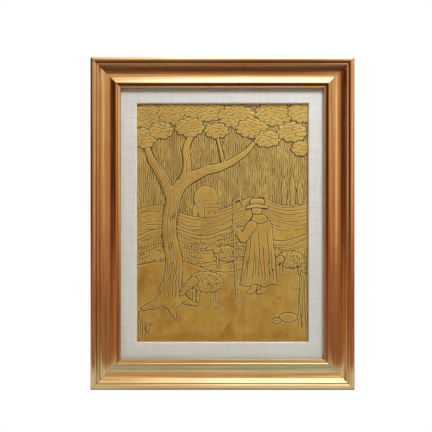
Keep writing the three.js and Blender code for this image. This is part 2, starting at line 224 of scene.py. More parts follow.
def lights():
    """A big soft light overhead, brighter towards the right; the key light, high on the right;
    and, only mirrored, a warm panel in front on the right and a pale table low in front."""
    above = (0.23, -0.15, 0.19)
    edges = ((0.275, 0.05), (0.57, 0.05))
    panel_light("overhead_softbox", above, (0.23, -0.15, -1), (0.98, 0.7), 2.6, "F6F9FF", soft=edges)
    panel_light("key_softbox", KEY_PLACE, (0, 0, MIDDLE_Z), (0.4, 0.4), 64, "DCECFF", "matt")
    for name, place, size, brightness, colour, edges in [
        ("right_panel", (0.345, -0.63, -0.13), (0.28, 0.52), 0.48, "FFF0CC", ((0.4, 0.4), (0.3, 0.05))),
        ("low_table", (0, -0.08, -0.615), (0.9, 0.224), 0.52, "CAFAF2", ((0.02, 0.02), (0.3, 0.06))),
    ]:
        straight_back = (place[0], 0, place[2])
        panel_light(name, place, straight_back, size, brightness, colour, "shiny", edges)


def studio_floor():
    """A pale board under the object, its back edge just out of the camera's view."""
    bpy.ops.mesh.primitive_plane_add(size=1, location=(0, -0.315, -0.62))
    floor = bpy.context.object
    floor.name = "pale_floor"
    floor.scale = (1.8, 0.67, 1)
    bpy.ops.object.transform_apply(location=True, rotation=True, scale=True)
    floor.data.materials.append(pale_floor_paint())
    floor.visible_glossy = False


def new_material(name):
    material = bpy.data.materials.new(name)
    tree = emptied_tree(material)
    shader = add(tree, "BsdfPrincipled")
    add(tree, "OutputMaterial", {"Surface": shader})
    return material, tree, shader


def pale_floor_paint():
    """Matt emulsion on board: plain, pale and a little cool."""
    material, tree, shader = new_material("matt_emulsion_floor")
    set_inputs(shader, {"Base Color": "D2DCD8", "Roughness": 0.8})
    return material


# How the cast's front is cut, in millimetres
GRID_STEP = 0.7
CAST_TRIANGLES = 186000
EDGE_CLEARANCE = 0.4
LINE_WIDTH = 2.0
LINE_DEPTH = 0.55
BURR_HEIGHT = 0.12
FULL_BURR = 0.25
HAND_WANDER = 1.5
NEVER = 1e9
RIDGE_OVERRUN = 16
EVERYWHERE = (slice(None), slice(None))

Form = namedtuple("Form", "where edge along across")
dice = np.random.default_rng(7)
LATTICE = dice.random((256, 256)).astype(np.float32)


def blend(field, i, j, p, q):
    """The value p and q of a step past place i, j of a grid that repeats."""
    wide, tall = field.shape
    near, far = i % wide, (i + 1) % wide
    low = field[near, j % tall] * (1 - p) + field[far, j % tall] * p
    high = field[near, (j + 1) % tall] * (1 - p) + field[far, (j + 1) % tall] * p
    return low * (1 - q) + high * q


def wander(u, v, size, seed=0.0):
    """Soft noise from 0 to 1, its lumps about size across."""
    a = u / size + 61.3 + 3.1 * seed
    b = v / size + 47.9 + 7.7 * seed
    i = np.floor(a).astype(int)
    j = np.floor(b).astype(int)
    p = a - i
    q = b - j
    return blend(LATTICE, i, j, p * p * (3 - 2 * p), q * q * (3 - 2 * q))


def from_stretch(x, y, way):
    """For places given from the start of a straight stretch: how far along it, from 0 to 1,
    its nearest point lies, and the places as given from that point."""
    t = np.clip((x * way[0] + y * way[1]) / max(way @ way, 1e-9), 0, 1)
    return t, x - t * way[0], y - t * way[1]


def smooth_line(points, steps=6):
    """A smooth curve through the points, with steps pieces between each two."""
    p = np.array(points, float)
    if len(p) == 2:
        t = np.linspace(0, 1, steps + 1)[:, None]
        return p[0] * (1 - t) + p[1] * t
    e = np.vstack([2 * p[0] - p[1], p, 2 * p[-1] - p[-2]])
    curve = []
    for k in range(1, len(e) - 2):
        for t in np.arange(steps) / steps:
            bend = 2 * e[k - 1] - 5 * e[k] + 4 * e[k + 1] - e[k + 2]
            twist = e[k + 2] - e[k - 1] + 3 * (e[k] - e[k + 1])
            curve.append(e[k] + 0.5 * ((e[k + 1] - e[k - 1]) * t + bend * t**2 + twist * t**3))
    return np.array(curve + [p[-1]])


class Carving:
    """The cast's front as a grid of heights, on which forms are raised and lines are cut."""

    def __init__(self):
        self.half_u = PICTURE_WIDTH / 2
        self.half_v = PICTURE_HEIGHT / 2
        reaches = [half + CAST_MARGIN for half in (self.half_u, self.half_v)]
        self.line_u, self.line_v = (
            np.linspace(-reach, reach, round(2 * reach / GRID_STEP) + 1) for reach in reaches
        )
        self.u, self.v = np.meshgrid(self.line_u, self.line_v, indexing="ij")
        self.hand_u = self.u + self.unsteady(1)
        self.hand_v = self.v + self.unsteady(3)
        self.height = np.zeros(self.u.shape)
        self.cut = np.zeros(self.u.shape)
        self.hatched = np.zeros(self.u.shape, bool)

    def unsteady(self, seed):
        slow = wander(self.u, self.v, 17, seed) - 0.5
        quick = wander(self.u, self.v, 7, seed + 1) - 0.5
        return HAND_WANDER * slow + HAND_WANDER * 0.65 * quick

    def window(self, places, reach=0):
        """The part of the grid round these places, with some room to spare."""
        room = 4.0
        low = np.min(places, axis=0) - reach - room
        high = np.max(places, axis=0) + reach + room
        a = np.searchsorted(self.line_u, [low[0], high[0]])
        b = np.searchsorted(self.line_v, [low[1], high[1]])
        return slice(*a), slice(*b)

    def ribbon(self, points, steps=6):
        """A limb along a smooth line of (u, v, half width) points, with round ends."""
        p = smooth_line(points, steps)
        where = self.window(p[:, :2], p[:, 2].max())
        u = self.hand_u[where]
        v = self.hand_v[where]
        run = np.hypot(p[1:, 0] - p[:-1, 0], p[1:, 1] - p[:-1, 1])
        length = np.r_[0, np.cumsum(run)]
        edge = np.full(u.shape, NEVER)
        along = np.zeros(u.shape)
        across = np.zeros(u.shape)
        for k in range(len(p) - 1):
            way = p[k + 1, :2] - p[k, :2]
            t, du, dv = from_stretch(u - p[k, 0], v - p[k, 1], way)
            half = p[k, 2] + (p[k + 1, 2] - p[k, 2]) * t
            away = np.hypot(du, dv)
            nearer = away - half < edge
            edge = np.where(nearer, away - half, edge)
            along = np.where(nearer, length[k] + t * run[k], along)
            side = np.sign(way[0] * dv - way[1] * du)
            across = np.where(nearer, side * away / np.maximum(half, 1e-6), across)
        return Form(where, edge, along, across)

    def oval(self, middle, radii, lobes=0, bump=0.0, turn=0.0, phase=0.0):
        """An oval. With lobes its edge is scalloped, as leaves in a mass or a fleece."""
        where = self.window([middle], max(radii) * (1 + bump))
        u = self.hand_u[where] - middle[0]
        v = self.hand_v[where] - middle[1]
        c = math.cos(math.radians(turn))
        s = math.sin(math.radians(turn))
        a = (u * c + v * s) / radii[0]
        b = (v * c - u * s) / radii[1]
        out = np.hypot(a, b)
        if lobes:
            wave = np.abs(np.sin(np.arctan2(b, a) * lobes / 2 + phase)) - 0.5
            out = out / (1 + bump * wave)
        steepness = np.hypot(a / radii[0], b / radii[1])
        return Form(where, out * (out - 1) / np.maximum(steepness, 1e-9), a, b)

    def patch(self, outline):
        """A form inside a closed outline of straight sides."""
        p = np.array(outline, float)
        where = self.window(p)
        u = self.hand_u[where]
        v = self.hand_v[where]
        away = np.full(u.shape, NEVER)
        side = np.ones(u.shape)
        for k in range(len(p)):
            a, b = p[k], p[k - 1]
            way = b - a
            x = u - a[0]
            y = v - a[1]
            away = np.minimum(away, np.hypot(*from_stretch(x, y, way)[1:]))
            above = v >= a[1]
            below = v < b[1]
            left = way[0] * y > way[1] * x
            side = np.where((above & below & left) | (~above & ~below & ~left), -side, side)
        return Form(where, side * away, u, v)

    def below(self, ridge):
        """The ground under a smooth ridge, given as heights at even steps across the picture."""
        reach = self.half_u + RIDGE_OVERRUN
        places = np.linspace(-reach, reach, len(ridge))
        line = smooth_line(list(zip(places, ridge)), 8)
        top = np.interp(self.hand_u, line[:, 0], line[:, 1])
        return Form(EVERYWHERE, self.hand_v - top, self.hand_u, self.hand_v)

    def raise_form(self, form, level, rise=0.0, soft=5.0, line=LINE_WIDTH):
        """Lifts a form off the ground with a swelling top, and cuts its outline."""
        into = np.clip(-form.edge / soft, 0, 1)
        body = level + rise * np.sqrt(1 - (1 - into) ** 2)
        inside = form.edge < 0
        height = self.height[form.where]
        height[inside] = np.maximum(height, body)[inside]
        self.cut[form.where][inside] = 0
        self.hatched[form.where][inside] = False
        if line:
            self.cut_line(form.where, np.abs(form.edge), line)

    def raise_limb(self, points, *heights):
        """Lifts a limb off the ground. Its heights are those that raise_form takes."""
        limb = self.ribbon(points)
        self.raise_form(limb, *heights)
        return limb

    def raise_together(self, parts, level, rise, soft):
        """Lifts several limbs as one form, so that no line is cut where they meet."""
        edge = np.full(self.u.shape, NEVER)
        for part in parts:
            self.raise_form(part, level, rise, soft, line=0)
            edge[part.where] = np.minimum(edge[part.where], part.edge)
        self.cut_line(EVERYWHERE, np.abs(edge))

    def cut_line(self, where, away, width=LINE_WIDTH, depth=1.0, only=None):
        """Cuts a groove wherever away, the distance to its middle, is within half its width."""
        groove = np.clip(1 - 2 * away / width, 0, 1) ** 0.8 * depth
        if only is not None:
            groove = np.where(only, groove, 0)
        cut = self.cut[where]
        np.maximum(cut, groove, out=cut)

    def stroke(self, points, width=LINE_WIDTH, depth=1.0, only=None, steps=4, taper=0.0):
        """One cut of the tool through (u, v) points, thinner at its ends if it tapers."""
        form = self.ribbon([(u, v, 0) for u, v in points], steps)
        if taper and form.along.size:
            total = max(form.along.max(), 1e-6)
            from_end = np.minimum(form.along, total - form.along) / (total * taper)
            width = width * np.clip(from_end, 0.25, 1)
        inside = None if only is None else only[form.where]
        self.cut_line(form.where, form.edge, width, depth, inside)

    def grain(self, form, half, count, seed, pitch=24.0, width=1.6, inset=0.8, broken=0.25):
        """Wavering lines along a limb, as in bark. Every other one stops as the limb thins."""
        total = max(form.along.max(), 1e-6)
        between_ends = (form.along > 0) & (form.along < total) & (form.edge < -inset)
        for k in range(count):
            place = -1 + 2 * (k + 0.5) / count
            row = np.full(form.along.shape, 7.3 * k)
            sway = 0.5 * (wander(form.along, row, pitch, seed) - 0.5)
            sway += 0.2 * (wander(form.along, row, pitch / 3, seed) - 0.5)
            away = np.abs(form.across - place - sway) * half
            gaps = broken + (k % 2) * form.along / total
            lifted = wander(form.along, row + 3, pitch * 0.8, seed + 5) < gaps
            away = np.where(lifted, NEVER, away)
            self.cut_line(form.where, away, width, 0.95, between_ends)

    def within(self, form, inset):
        """A mask of the whole grid that is true inside the form."""
        mask = np.zeros(self.u.shape, bool)
        mask[form.where] = form.edge < -inset
        return mask

    def hatch(self, only, pitch, lengths, seed, depth=0.85):
        """Uneven upright strokes side by side, as the ground behind a scene is toned."""
        rng = np.random.default_rng(seed)
        for u in np.arange(-self.half_u, self.half_u, pitch):
            v = -self.half_v + rng.uniform(0, 20)
            while v < self.half_v:
                length = rng.uniform(*lengths)
                shifts = rng.uniform(-0.3, 0.3, 4) * pitch
                points = [(u + shift, v + length * k / 3) for k, shift in enumerate(shifts)]
                width = LINE_WIDTH * rng.uniform(0.7, 1.05)
                if only[self.nearest(*points[0])] or only[self.nearest(*points[3])]:
                    self.stroke(points, width, depth * rng.uniform(0.7, 1), only, 3, 0.25)
                v += length + rng.uniform(0.8, 3)

    def nearest(self, u, v):
        a = np.clip(np.searchsorted(self.line_u, u), 0, len(self.line_u) - 1)
        b = np.clip(np.searchsorted(self.line_v, v), 0, len(self.line_v) - 1)
        return a, b


def seeds_in(middle, radii, count, reach):
    """Places spread over an oval as seeds are in a sunflower."""
    for k in range(count):
        out = reach * math.sqrt((k + 0.5) / count)
        across, up = (radius * out for radius in radii)
        yield middle[0] + across * math.cos(2.4 * k), middle[1] + up * math.sin(2.4 * k)


def carve_hills(relief):
    """A hatched sky with a low sun, and three hills before it with the lines of fields."""
    far = [18, 30, 12, 24, 44, 30, 38]
    middle = [-28, -8, -22, -6, -30, -12]
    near = [-74, -64, -84, -70, -92]
    sky = relief.below(far).edge > 0
    in_picture = np.abs(relief.u) < relief.half_u
    relief.hatched = sky & in_picture
    relief.hatch(relief.hatched, 3.7, (8, 26), 3, 1)
    carve_sun(relief)
    for ridge, level, spacing, lines, seed in [
        (far, 0.3, 5.6, 8, 1),
        (middle, 0.65, 5.4, 11, 11),
        (near, 0.95, 9.0, 0, 21),
    ]:
        hill = relief.below(ridge)
        relief.raise_form(hill, level, 0.3, 8)
        for k in range(1, lines + 1):
            sway = 6 * (wander(relief.u, relief.v, 30, seed + k / 3) - 0.5)
            lifted = wander(relief.u, relief.v, 15, seed + 40 + k) < 0.3
            away = np.where(lifted, NEVER, np.abs(hill.edge + spacing * k + sway))
            relief.cut_line(hill.where, away, 1.6, 0.85, hill.edge < 0)
    shade = (relief.below(middle).edge < -4) & (relief.below(near).edge > 0)
    shade &= wander(relief.u, relief.v, 42, 31) > 0.45
    relief.hatch(shade & in_picture, 4.0, (5, 14), 13)


def carve_sun(relief):
    sun = relief.oval((-28, 42), (21, 21))
    relief.raise_form(sun, 0.15, 0.3, 6)
    disc = relief.within(sun, 1)
    for v, low, high in [(50, -44, -26), (46, -22, -10), (40, -46, -34)]:
        relief.stroke([(low, v), ((low + high) / 2, v + 0.8), (high, v)], 1.1, 0.7, disc, 4, 0.3)


def carve_farmhouse(relief):
    gable = [(-51, 9.5), (-30, 9.5), (-30, 26), (-40.5, 37), (-51, 26)]
    roof = [(-40.5, 37.3), (-14, 37.3), (-4, 25.6), (-30.4, 25.6)]
    wall = [(-30.2, 9.7), (-6, 9.7), (-6, 27), (-30.2, 27)]
    for outline, level in [(gable, 0.95), (wall, 0.85), (roof, 1.05)]:
        relief.raise_form(relief.patch(outline), level, 0.15, 2, 1.3)
    for k in range(1, 7):
        top = -40.5 + 3.8 * k
        relief.stroke([(top, 36), (top + 9.6, 27)], 1.0, 0.6)
    for u, v in [(-41, 25), (-24, 17), (-13, 17)]:
        relief.stroke([(u, v - 2), (u, v + 2.5)], 2.2, 0.9, steps=2)
    relief.stroke([(-41, 10.5), (-41, 17)], 3.4, 0.9, steps=2)


def carve_slim_trees(relief):
    for u, v, tall in [(104, 34, 44), (119, 32, 52), (132, 34, 40)]:
        line = [(u, v, 4), (u, v + tall * 0.45, 5.5), (u, v + tall, 1.2)]
        tree = relief.raise_limb(line, 0.8, 0.6, 4, 1.4)
        relief.grain(tree, 5, 4, u, 9, 1.0, 0.6)


def carve_leaves(relief, masses, level, seed):
    """Masses of leaves with scalloped edges, filled with small curved cuts."""
    lobe_span = 3.8
    room_for_one = 19
    for k, (u, v, across, up) in enumerate(masses):
        lobes = round((across + up) / lobe_span)
        mass = relief.oval((u, v), (across, up), lobes, 0.2, phase=k)
        relief.raise_form(mass, level, 0.7, 8)
        inside = relief.within(mass, 1.5)
        rng = np.random.default_rng(seed + k)
        for place in seeds_in((u, v), (across, up), int(across * up / room_for_one), 0.9):
            carve_curl(relief, place, rng.uniform(2.8, 4.8), rng.uniform(-0.4, 0.9), 2.7, inside)


def carve_curl(relief, centre, size, start, sweep, only):
    points = [
        (centre[0] + size * math.cos(turn), centre[1] + 0.85 * size * math.sin(turn))
        for turn in start + sweep * np.linspace(0, 1, 4)
    ]
    relief.stroke(points, 1.6, 0.9, only, 3, 0.2)


def carve_tree(relief):
    """The old tree on the left: boughs and roots in one with the trunk, bark and leaves."""
    trunk = [
        (-88, -126, 21), (-85, -104, 17), (-82, -66, 14), (-90, -18, 13), (-85, 30, 12.5),
        (-70, 64, 11), (-34, 86, 8.5), (6, 98, 6.5), (40, 120, 5), (60, 144, 3.5),
    ]
    boughs = [
        [(-84, 34, 10), (-98, 72, 9), (-118, 104, 7), (-134, 140, 5)],
        [(-74, 56, 10), (-60, 92, 8), (-62, 124, 6.5), (-48, 160, 5)],
        [(4, 97, 5), (-4, 124, 4), (-10, 150, 3)],
    ]
    roots = [
        [(-94, -108, 11), (-108, -134, 8), (-134, -146, 3.5)],
        [(-86, -112, 11), (-86, -142, 7), (-80, -160, 3)],
        [(-78, -106, 10), (-64, -130, 7), (-44, -138, 3)],
    ]
    behind = [
        (-124, 180, 34, 22), (-78, 188, 30, 22), (-30, 190, 34, 18), (24, 180, 30, 20),
        (88, 184, 32, 20),
    ]
    front = [
        (-134, 144, 22, 17), (-104, 156, 20, 14), (-56, 162, 24, 16), (-10, 156, 20, 13),
        (50, 160, 26, 16), (76, 142, 22, 14), (118, 154, 24, 17), (134, 126, 16, 13),
        (134, 188, 22, 18),
    ]
    carve_leaves(relief, behind, 1, 100)
    lines = [*roots, *boughs, trunk]
    limbs = [relief.ribbon(line) for line in lines]
    relief.raise_together(limbs, 1.25, 0.95, 7)
    for limb, line in zip(limbs, lines):
        inside = limb.edge < -1
        relief.cut[limb.where][inside] = 0
        half = line[0][2] * 0.75
        relief.grain(limb, half, max(3, round(half / 2.3)), line[1][0])
    for u, v in [(-88, -40), (-86, 12), (-96, 58)]:
        knot = relief.ribbon([(u, v - 3, 1.6), (u + 1, v + 3, 1.6)])
        relief.cut_line(knot.where, np.abs(knot.edge), 1.3)
        relief.cut_line(knot.where, np.abs(knot.edge - 2.4), 1.0, 0.7)
    carve_leaves(relief, front, 1.35, 200)


def carve_sheep(relief, place, size, look, grazing, level):
    """One sheep looking left (-1) or right (1), its head down or up."""
    u, v = place

    def at(x, y, *half):
        return u + look * x * size, v + y * size, *(width * size for width in half)

    for x in (-19, -11, 13, 20):
        relief.raise_limb([at(x, -12, 3), at(x + 1, -33, 2.1)], level - 0.1, 0.35, 2.5, 1.3)
        relief.stroke([at(x - 1.5, -31), at(x + 3, -31)], 1.0, 0.7, steps=2)
    girth = (28 * size, 17.5 * size)
    fleece = relief.oval(place, girth, 20, 0.13, 4 * look, 0.6)
    relief.raise_form(fleece, level, 0.9, 9 * size)
    wool = relief.within(fleece, 1.8)
    rng = np.random.default_rng(int(abs(13 * u + 5 * v)))
    for centre in seeds_in(place, girth, int(36 * size), 0.88):
        curl = 2.8 * size * rng.uniform(0.85, 1.2)
        carve_curl(relief, centre, curl, rng.uniform(0, 6.28), 3.6, wool)
    nape, (x, y), muzzle = ((22, 0), (33, -9), (41, -20)) if grazing else ((22, 8), (31, 14), (43, 9))
    relief.raise_limb([at(*nape, 8.5), at(x, y, 6), at(*muzzle, 3.6)], level + 0.25, 0.7, 4 * size)
    relief.raise_limb([at(x - 3, y + 4, 2.4), at(x - 9, y + 2, 1.5)], level + 0.9, 0.4, 2, 1.2)
    relief.stroke([at(x + 3.2, y - 0.4), at(x + 4.6, y - 1.2)], 1.4, steps=2)


def carve_shepherd(relief, u, v):
    """The shepherd seen from behind, in a long cloak and a broad hat, leaning on a crook."""

    def placed(*points):
        return [(u + point[0], v + point[1], *point[2:]) for point in points]

    for x in (-9, 8):
        boot = placed((x, 14, 6), (x - 1, -2, 5), (x - 9, -6, 3.6))
        relief.raise_limb(boot, 1.25, 0.6, 4)
    cloak = relief.patch(
        placed(
            (-13, 122), (-21, 106), (-23, 70), (-29, 30), (-33, 8), (-20, 3), (-6, 8), (8, 2),
            (22, 7), (31, 6), (28, 44), (24, 84), (21, 110), (12, 123), (0, 127),
        )
    )
    relief.raise_form(cloak, 1.35, 0.9, 9)
    cloth = relief.within(cloak, 1.2)
    folds = [
        (-15, 96, -16, 60, -23, 14), (-9, 84, -8, 50, -13, 10), (-1, 100, 1, 60, -1, 11),
        (6, 78, 9, 40, 11, 9), (12, 104, 16, 60, 19, 10), (19, 70, 22, 40, 26, 12),
        (-19, 50, -22, 36, -28, 18), (3, 50, 5, 30, 5, 16), (-5, 64, -5, 36, -8, 20),
        (15, 50, 19, 30, 23, 18),
    ]
    for a, b, c, d, e, f in folds:
        relief.stroke(placed((a, b), (c, d), (e, f)), 1.9, 1, cloth, 6, 0.12)
    hem = placed((-31, 13), (-19, 8.5), (-6, 13), (8, 7.5), (21, 12), (29, 11))
    relief.stroke(hem, 1.1, 0.6, cloth, 5)
    sleeve = relief.ribbon(placed((-12, 108, 8.5), (-27, 86, 7.5)))
    forearm = relief.ribbon(placed((-27, 86, 7.2), (-34, 94, 5.6), (-41, 105, 4.4)))
    relief.raise_together([sleeve, forearm], 1.7, 0.8, 5)
    for k in range(0, 15, 5):
        relief.stroke(placed((k - 25, k + 82), (k - 22, k + 92)), 1.1, 0.7, taper=0.2)
    crook = placed(
        (-38, -8, 1.8), (-41, 60, 1.8), (-43, 138, 1.8), (-40, 150, 1.8), (-32, 152, 1.7),
        (-29, 143, 1.6),
    )
    relief.raise_form(relief.ribbon(crook, 8), 1.9, 0.4, 1.5, 1.3)
    for k in range(3):
        finger = placed((-45, 101 + 3.1 * k, 1.5), (-39, 102.5 + 3.1 * k, 1.6))
        relief.raise_limb(finger, 2.0, 0.4, 1.5, 1.0)
    relief.raise_form(relief.oval((u - 3, v + 133), (9, 11)), 1.7, 0.8, 6)
    for k in range(5):
        lock = placed((-9 + 3 * k, 134), (-9.5 + 3.1 * k, 126 - (k % 2)))
        relief.stroke(lock, 1.0, 0.7, taper=0.2)
    crown = relief.raise_limb(placed((-9, 147, 6.5), (3, 147, 6.5)), 2.0, 0.5, 4)
    relief.stroke(placed((-14, 145), (-3, 147), (8, 145)), 1.3, 0.8, relief.within(crown, 0))
    relief.raise_limb(placed((-20, 138, 2.6), (-3, 141, 3.6), (14, 138, 2.6)), 2.1, 0.4, 3)
    collar = relief.patch(placed((-11, 126), (10, 126), (14, 116), (0, 110), (-14, 116)))
    relief.raise_form(collar, 1.9, 0.4, 4)


def carve_meadow(relief):
    """Grass, paths that wind back to the hills, two stones, and reeds."""
    tufts = [
        (-10, -150, 5, 11), (28, -138, 4, 9), (96, -132, 5, 12), (-64, -172, 4, 9),
        (124, -118, 4, 10), (-122, -176, 5, 11), (60, -172, 4, 8), (-34, -186, 3, 7),
        (-116, -96, 4, 9), (14, -92, 4, 8), (88, -84, 4, 8),
    ]
    for u, v, blades, tall in tufts:
        for k in range(blades):
            lean = (k - (blades - 1) / 2) / blades
            tip = (u + 20 * lean, v + tall * (1 - abs(lean)))
            blade = [(u + 6 * lean, v), (u + 11 * lean, v + 0.6 * tall), tip]
            relief.stroke(blade, 1.3, 0.85, steps=3, taper=0.3)
    paths = [
        [(-12, -196), (4, -168), (34, -140), (22, -118), (-2, -96), (20, -78)],
        [(30, -198), (36, -174), (52, -152)],
        [(40, -126), (22, -104), (34, -88), (40, -76)],
    ]
    open_ground = relief.height < 1.3
    for line in paths:
        relief.stroke(line, 1.2, 0.6, open_ground, 8, 0.15)
    stones = [relief.oval((92, -166), (8, 5)), relief.oval((112, -160), (16, 8))]
    for stone, level in zip(stones, (1.05, 1.1)):
        relief.raise_form(stone, level, 0.5, 5)
        open_ground &= ~relief.within(stone, -1.5)
    for crack in [[(103, -162), (111, -158), (120, -161)], [(88, -167), (92, -165), (96, -167)]]:
        relief.stroke(crack, 1.3, 0.8)
    carve_reeds(relief, open_ground)


def carve_reeds(relief, open_ground):
    """Bulrushes at the right edge, some of them in seed, and shorter reeds at the left."""
    rng = np.random.default_rng(41)
    for side, count in [(1, 5), (-1, 6)]:
        for k in range(count):
            u = side * (143 - 3.6 * k)
            low = rng.uniform(-200, -186)
            high = low + rng.uniform(0.75, 1) * (165 - 12 * k if side > 0 else 62 - 8 * k)
            sway = rng.uniform(-1.9, 1.9, 6)
            heights = np.linspace(low, high, 6)
            relief.stroke(list(zip(u + sway, heights)), 1.7, 0.95, open_ground, 6, 0.12)
            if k % 3 == 1 and side > 0:
                tip = u + sway[5]
                head = [(tip, high, 1.8), (tip + 0.8, high + 11, 1.6)]
                relief.raise_limb(head, 1.3, 0.4, 1.5, 1.5)


def carve_marks(relief):
    """A row of short upright cuts low on the right."""
    rng = np.random.default_rng(5)
    for k in range(8):
        u = 117 + 2.7 * k
        top = -186.6 + rng.uniform(-0.6, 0.6)
        relief.stroke([(u, -191), (u + rng.uniform(-0.3, 0.3), top)], 1.1, 0.7, steps=2)


def blurred(field, rounds):
    for _ in range(rounds):
        for axis in (0, 1):
            ahead = np.roll(field, 1, axis)
            behind = np.roll(field, -1, axis)
            field = (ahead + 2 * field + behind) / 4
    return field


def carved_front():
    """The whole scene cut into the cast's front, trimmed just inside the liner's edge."""
    relief = Carving()
    carve_hills(relief)
    carve_farmhouse(relief)
    carve_slim_trees(relief)
    carve_tree(relief)
    carve_sheep(relief, (6, -52), 0.74, -1, False, 1)
    carve_sheep(relief, (116, -62), 0.8, -1, True, 1)
    carve_sheep(relief, (-28, -100), 1, -1, True, 1.25)
    carve_shepherd(relief, 62, -112)
    carve_meadow(relief)
    carve_marks(relief)
    inside = np.abs(relief.u) < relief.half_u - EDGE_CLEARANCE
    inside &= np.abs(relief.v) < relief.half_v - EDGE_CLEARANCE
    relief.cut = np.where(inside, relief.cut, 0)
    # The burr lifts the metal beside each cut, and in the gold it also carries a painted highlight
    relief.burr = np.clip(blurred(relief.cut, 3) - relief.cut, 0, FULL_BURR) / FULL_BURR
    relief.tone = blurred((relief.hatched & inside).astype(float), 6)
    skin = relief.height - LINE_DEPTH * relief.cut + BURR_HEIGHT * relief.burr
    relief.skin = np.where(inside, skin, 0)
    return relief


def arc(centre, radius, start, end, steps):
    """Points along an arc of the moulding's section, as (inward, height) pairs."""
    angles = np.radians(np.linspace(start, end, steps + 1))
    return [(centre[0] + radius * math.cos(a), centre[1] + radius * math.sin(a)) for a in angles]


def moulding_section():
    """A broad outer bead, a flat fillet, the scoop that eases towards the lip, a step down,
    the inner slope, the sight edge's bead, and the rabbet."""
    sight_radius = 0.9
    return [
        (0, 0), (0, 6), (0, 14), (0, 22), (0, 30.2), (0.12, 30.8),
        *arc((4.6, 27), 6, 138, 50, 18),
        (9.3, 30.7), (9.9, 30.2),
        *arc((11.9, 29.5), 0.7, 95, 45, 4),
        (14, 28.05),
        *arc((28.3, 37.9), 17.3, -135, -62, 20),
        *arc((7.31, 77.37), 62, -61, -56.6, 5),
        *arc((42.35, 25.4), 1.0, 160, 45, 8),
        (44.9, 24.4), (46.7, 23.7),
        *arc((RAIL_WIDTH - sight_radius, 22.3), sight_radius, 130, 0, 7),
        (RAIL_WIDTH, LEDGE), (RAIL_WIDTH - RABBET, LEDGE), (RAIL_WIDTH - RABBET, 0), (22, 0),
    ]


def new_piece(name):
    """The primitive just added, under its own name."""
    piece = bpy.context.object
    piece.name = name
    return piece


def corners_of(piece):
    """The corners of a piece as rows of x, y and z."""
    co = np.empty(len(piece.data.vertices) * 3)
    piece.data.vertices.foreach_get("co", co)
    return co.reshape(-1, 3)


def keep_values(piece, name, values):
    piece.data.attributes.new(name, "FLOAT", "POINT").data.foreach_set("value", values)


def pick_edges(wanted):
    """In edit mode, selects the edges that wanted says yes to."""
    bpy.ops.mesh.select_mode(type="EDGE")
    bpy.ops.mesh.select_all(action="DESELECT")
    mesh = bpy.context.edit_object.data
    for edge in bmesh.from_edit_mesh(mesh).edges:
        if wanted(edge):
            edge.select_set(True)
    bmesh.update_edit_mesh(mesh)


def draw_out(*way):
    bpy.ops.mesh.extrude_region_move(TRANSFORM_OT_translate={"value": way})


def face_outward():
    bpy.ops.mesh.select_all(action="SELECT")
    bpy.ops.mesh.normals_make_consistent(inside=False)


def lay_plate(name, low, high):
    """In edit mode, a plate as wide and tall as a solid's box, laid flat at the box's back."""
    bpy.ops.mesh.primitive_plane_add(size=1, location=(0, 0, -high.y))
    plate = new_piece(name)
    plate.scale = (high.x - low.x, high.z - low.z, 1)
    bpy.ops.object.transform_apply(location=True, rotation=True, scale=True)
    bpy.ops.object.mode_set(mode="EDIT")
    bpy.ops.mesh.select_all(action="SELECT")
    return plate


def put_up(piece, smooth_below, *materials, turn=0):
    """Gives a piece laid out flat its materials, turns it about the frame's middle and stands
    it up in its place. It is shaded smooth where its faces bend by less than an angle."""
    bpy.ops.object.mode_set(mode="OBJECT")
    for material in materials:
        piece.data.materials.append(material)
    turned = Matrix.Rotation(math.radians(turn), 4, (0, -1, 0))
    upright = Matrix.Rotation(math.radians(90), 4, "X")
    piece.matrix_world = Matrix.Translation((0, 0, MIDDLE_Z)) @ turned @ upright
    bpy.ops.object.transform_apply(location=True, rotation=True, scale=True)
    bpy.ops.object.shade_smooth_by_angle(angle=math.radians(smooth_below))
    return piece


def gilt_rail(name, length, breadth, turn, seed):
    """One rail: the section drawn out, mitred at both ends and a little uneven, as by hand."""
    section = moulding_section()
    bpy.ops.mesh.primitive_circle_add(vertices=len(section), radius=RAIL_WIDTH * MM)
    rail = new_piece(name)
    for corner, (inward, height) in zip(rail.data.vertices, section):
        corner.co = (-length / 2 * MM, (breadth / 2 - inward) * MM, height * MM)
    bpy.ops.object.mode_set(mode="EDIT")
    bpy.ops.mesh.select_all(action="SELECT")
    bpy.ops.mesh.edge_face_add()
    draw_out(length * MM, 0, 0)
    for end in (-1, 1):
        seam = (end * (length / 2 - MITRE_SEAM) * MM, breadth / 2 * MM, 0)
        bpy.ops.mesh.select_all(action="SELECT")
        bpy.ops.mesh.bisect(plane_co=seam, plane_no=(end, -1, 0), use_fill=True, clear_outer=True)
    pick_edges(lambda edge: abs(edge.verts[0].co.x - edge.verts[1].co.x) > length / 2 * MM)
    bpy.ops.mesh.subdivide(number_cuts=round(length / RAIL_STEP))
    face_outward()
    bpy.ops.object.mode_set(mode="OBJECT")
    measure_rail(rail, section, breadth)
    make_uneven(rail, breadth, seed)
    for face in rail.data.polygons:
        place = face.center / MM
        in_rabbet = breadth / 2 - place.y > RAIL_WIDTH - RABBET - 0.2 and place.z < LEDGE + 0.1
        on_back = face.normal.z < -0.9
        on_mitre = abs(face.normal.x) > 0.5
        face.material_index = 1 if in_rabbet or on_back or on_mitre else 0
    return put_up(rail, 30, gilt, bare_wood, turn=turn)


